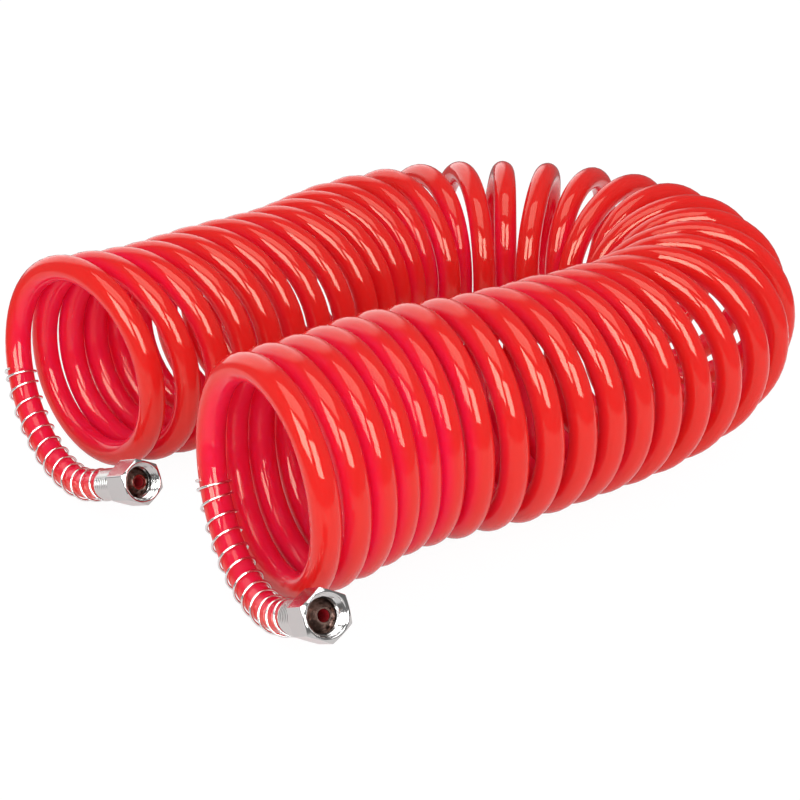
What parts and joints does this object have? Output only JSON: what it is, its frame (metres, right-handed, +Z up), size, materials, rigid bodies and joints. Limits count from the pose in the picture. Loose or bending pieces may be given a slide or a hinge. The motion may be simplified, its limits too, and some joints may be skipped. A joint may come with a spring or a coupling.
{
  "type": "coiled air hose",
  "caption": "Coiled plastic air hose laid in a U, with a spring guard, a crimped ferrule and a free-turning female swivel nut on each end.",
  "frame": {"origin": "on the floor, below the middle of the bounding box", "axes": "+X from the open ends of the U towards its bend, +Z up, +Y from leg B towards leg A"},
  "size_m": [0.3318, 0.2654, 0.085],
  "materials": {
    "hose": "glossy, slightly translucent red polyurethane",
    "nipple": "brass, nickel plated",
    "ferrule": "steel, nickel plated, turned with fine grooves",
    "nut": "brass, nickel plated, bright",
    "spring_wire": "bright zinc plated spring wire"
  },
  "bodies": {
    "hose": {"hose_tail_a": "hose", "hose_leg_a_1": "hose", "hose_leg_a_2": "hose", "hose_bend_1": "hose", "hose_bend_2": "hose", "hose_bend_3": "hose", "hose_bend_4": "hose", "hose_leg_b_1": "hose", "hose_leg_b_2": "hose", "hose_tail_b": "hose", "nipple_a": "nipple", "nipple_b": "nipple", "ferrule_a": "ferrule", "ferrule_b": "ferrule", "spring_guard_a": "spring_wire", "spring_guard_b": "spring_wire"},
    "nut_a": {"swivel_nut_a": "nut"},
    "nut_b": {"swivel_nut_b": "nut"}
  },
  "joints": [
    {"name": "nut_a_spin", "type": "hinge", "parent": "hose", "child": "nut_a", "pos_m": [-0.14587, 0.0053, 0.01802], "axis": [0.0251, -0.9329, 0.3592], "continuous": true},
    {"name": "nut_b_spin", "type": "hinge", "parent": "hose", "child": "nut_b", "pos_m": [-0.1562, -0.11828, 0.02084], "axis": [-0.1785, -0.8691, 0.4612], "continuous": true}
  ]
}
